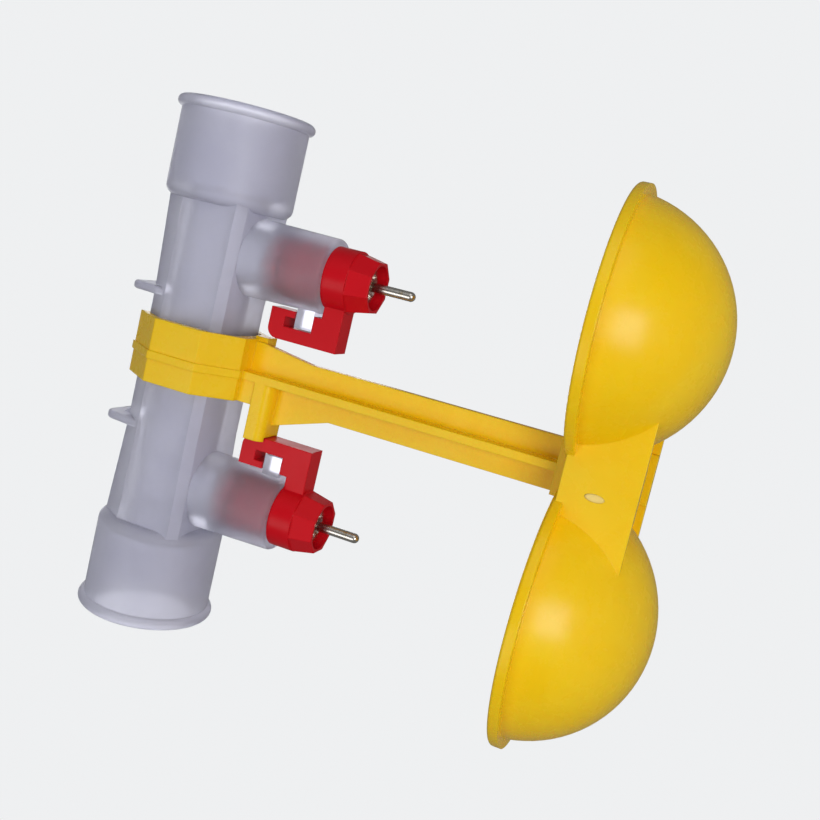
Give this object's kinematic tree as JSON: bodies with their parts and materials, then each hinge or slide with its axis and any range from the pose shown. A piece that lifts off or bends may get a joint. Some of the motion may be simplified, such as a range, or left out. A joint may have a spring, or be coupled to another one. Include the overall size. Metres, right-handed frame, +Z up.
{
  "type": "poultry nipple drinker",
  "caption": "Clear pipe tee with red push-pin drinking valves and a yellow clip-on hanger that holds a drip cup under each valve.",
  "frame": {"origin": "on the pipe's axis, in the plane of the mouth of the pipe socket at the -X end", "axes": "+X along the drinking line's pipe, from one socket to the other; +Z up, so the valves and the drip cups hang towards -Z; +Y level, across the line"},
  "size_m": [0.1268, 0.0612, 0.1383],
  "materials": {
    "clear_plastic": "milky clear, smooth",
    "yellow_plastic": "glossy",
    "red_plastic": "satin gloss",
    "steel": "turned and polished",
    "rubber": "matt black"
  },
  "bodies": {
    "line_unit": {"tee_fitting": "clear_plastic", "cup_hanger": "yellow_plastic", "valve_housing_a": "red_plastic", "valve_housing_b": "red_plastic", "strainer_cap_a": "red_plastic", "strainer_cap_b": "red_plastic", "steel_sleeve_a": "steel", "steel_sleeve_b": "steel", "seat_ring_a": "steel", "seat_ring_b": "steel", "seat_washer_a": "rubber", "seat_washer_b": "rubber", "spigot_seal_a": "rubber", "spigot_seal_b": "rubber"},
    "stem_a": {"valve_stem_a": "steel"},
    "stem_b": {"valve_stem_b": "steel"},
    "pin_a": {"trigger_pin_a": "steel"},
    "pin_b": {"trigger_pin_b": "steel"}
  },
  "joints": [
    {"name": "lift_a", "type": "slide", "parent": "line_unit", "child": "stem_a", "axis": [0, 0, 1], "range_m": [0, 0.0008]},
    {"name": "tilt_a", "type": "hinge", "parent": "stem_a", "child": "pin_a", "pos_m": [0.0914, 0, -0.03198], "axis": [0, 1, 0], "range_deg": [-7, 7]},
    {"name": "lift_b", "type": "slide", "parent": "line_unit", "child": "stem_b", "axis": [0, 0, 1], "range_m": [0, 0.0008]},
    {"name": "tilt_b", "type": "hinge", "parent": "stem_b", "child": "pin_b", "pos_m": [0.0336, 0, -0.03198], "axis": [0, 1, 0], "range_deg": [-7, 7]}
  ]
}
